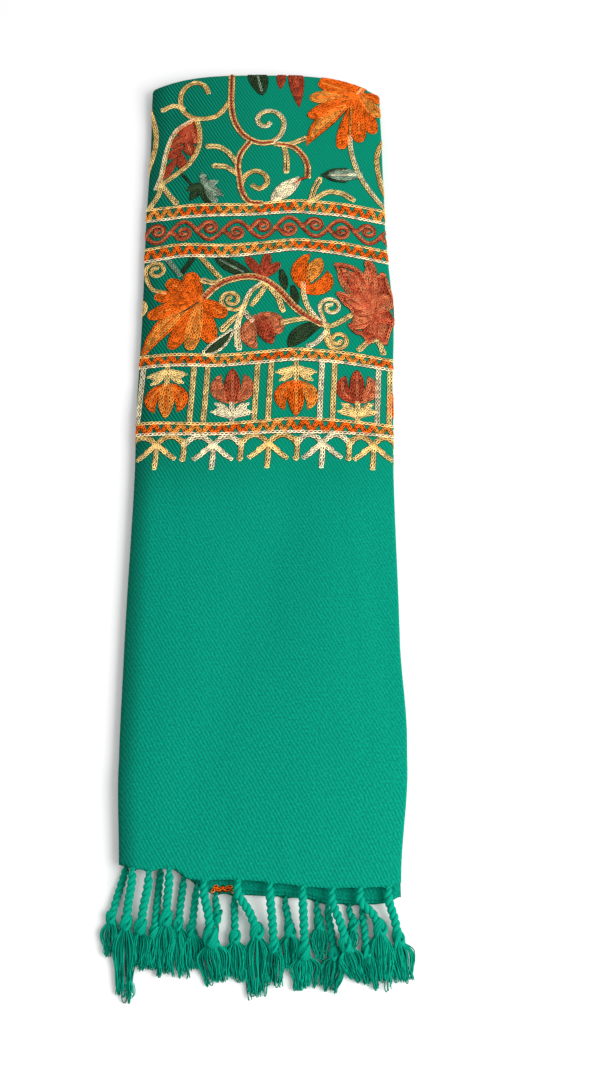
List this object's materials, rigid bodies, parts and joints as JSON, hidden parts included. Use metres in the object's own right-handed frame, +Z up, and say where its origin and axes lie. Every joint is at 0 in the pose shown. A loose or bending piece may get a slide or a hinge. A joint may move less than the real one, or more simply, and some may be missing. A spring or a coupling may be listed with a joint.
{
  "type": "folded shawl",
  "caption": "Fine wool shawl with chain-stitched vines and flowers and a knotted tassel fringe, folded lengthwise and crosswise into a long flat stack.",
  "frame": {"origin": "on the surface that the folded shawl lies on, under the middle of the whole with its fringe", "axes": "+X to the right across the fold, +Y along it from the fringe to the crosswise fold, +Z up"},
  "size_m": [0.2686, 1.0072, 0.021],
  "materials": {
    "shawl_cloth": "fine wool twill, soft and matte, embroidered",
    "fringe_yarn": "twisted and knotted wool yarn"
  },
  "bodies": {
    "root": {"back_panel": "shawl_cloth", "front_panel": "shawl_cloth", "inner_layers": "shawl_cloth", "tassel_lower_01": "fringe_yarn", "tassel_lower_04": "fringe_yarn", "tassel_lower_06": "fringe_yarn", "tassel_lower_07": "fringe_yarn", "tassel_lower_09": "fringe_yarn", "tassel_lower_10": "fringe_yarn", "tassel_lower_13": "fringe_yarn", "tassel_lower_15": "fringe_yarn", "tassel_lower_16": "fringe_yarn", "tassel_lower_18": "fringe_yarn", "tassel_lower_19": "fringe_yarn", "tassel_upper_02": "fringe_yarn", "tassel_upper_03": "fringe_yarn", "tassel_upper_05": "fringe_yarn", "tassel_upper_08": "fringe_yarn", "tassel_upper_11": "fringe_yarn", "tassel_upper_12": "fringe_yarn", "tassel_upper_14": "fringe_yarn", "tassel_upper_17": "fringe_yarn", "tassel_upper_20": "fringe_yarn", "tassel_upper_21": "fringe_yarn"}
  },
  "joints": []
}
